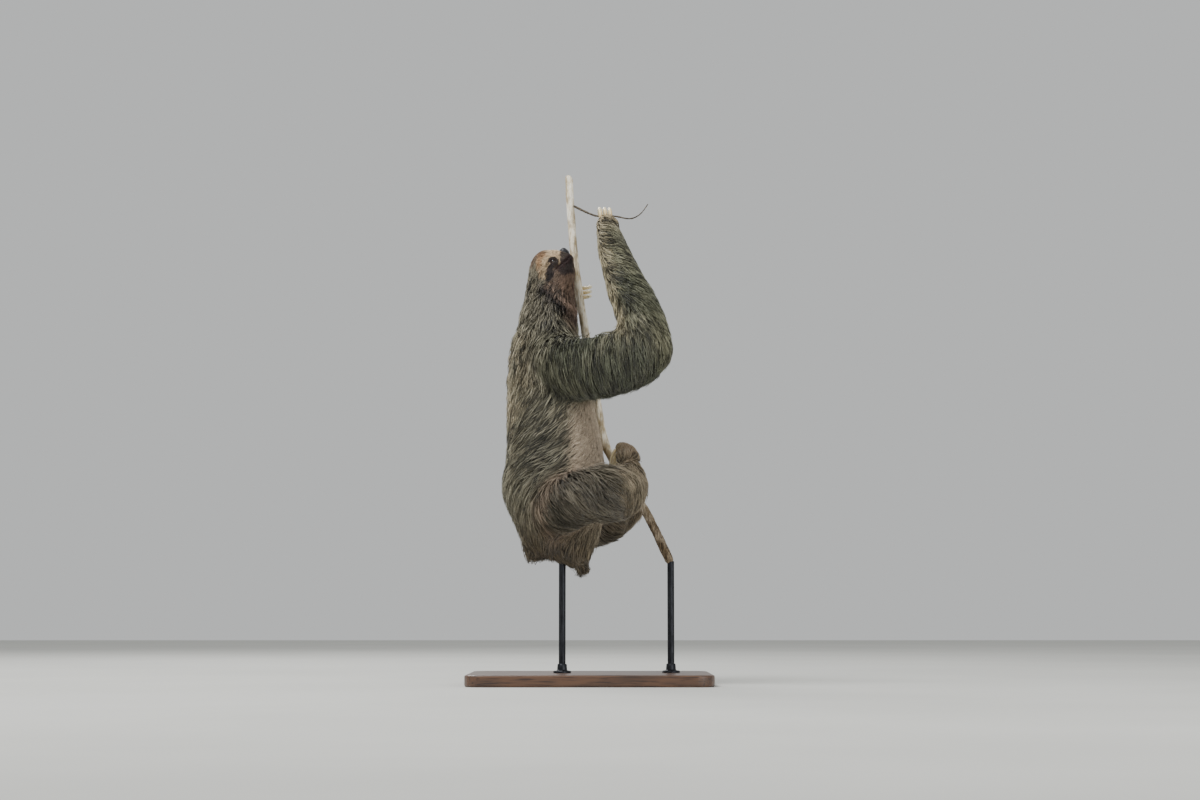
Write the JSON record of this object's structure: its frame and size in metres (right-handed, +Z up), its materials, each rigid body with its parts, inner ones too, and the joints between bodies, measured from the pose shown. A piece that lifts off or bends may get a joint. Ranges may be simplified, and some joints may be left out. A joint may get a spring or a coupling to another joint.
{
  "type": "three-toed sloth museum model",
  "caption": "Life-size still model of a three-toed sloth climbing a thin vine with one arm raised, held on a flat base by two rods.",
  "frame": {"origin": "centre of the underside of the stand's base", "axes": "+Z up, +X the way the animal faces and along the base's long side, -Y the animal's right side"},
  "size_m": [0.42, 0.4326, 0.9003],
  "materials": {
    "coat": "coarse shaggy fur, grey-brown with a green tinge of algae on the arms and back, pale on forehead and belly, dark round the eyes",
    "claw": "smooth horn, cream at the tips and tan at the roots, lightly worn",
    "eye": "wet dark brown eye",
    "nose": "bare dark grey skin, moist",
    "vine": "thin pale bark with darker patches and nodes",
    "stand_board": "dark stained board, satin",
    "stand_rod": "satin black round rod"
  },
  "bodies": {
    "root": {"claw_foot_left_1": "claw", "claw_foot_left_2": "claw", "claw_foot_left_3": "claw", "claw_foot_right_1": "claw", "claw_foot_right_2": "claw", "claw_foot_right_3": "claw", "claw_hand_left_1": "claw", "claw_hand_left_2": "claw", "claw_hand_left_3": "claw", "claw_hand_right_1": "claw", "claw_hand_right_2": "claw", "claw_hand_right_3": "claw", "eye_left": "eye", "eye_right": "eye", "foot_left": "coat", "foot_right": "coat", "forearm_left": "coat", "forearm_right": "coat", "hand_left": "coat", "hand_right": "coat", "head": "coat", "neck": "coat", "nose": "nose", "perch_twig": "vine", "perch_vine": "vine", "shank_left": "coat", "shank_right": "coat", "stand_base": "stand_board", "stand_rod_rump": "stand_rod", "stand_rod_vine": "stand_rod", "tail": "coat", "thigh_left": "coat", "thigh_right": "coat", "trunk": "coat", "upper_arm_left": "coat", "upper_arm_right": "coat"}
  },
  "joints": []
}
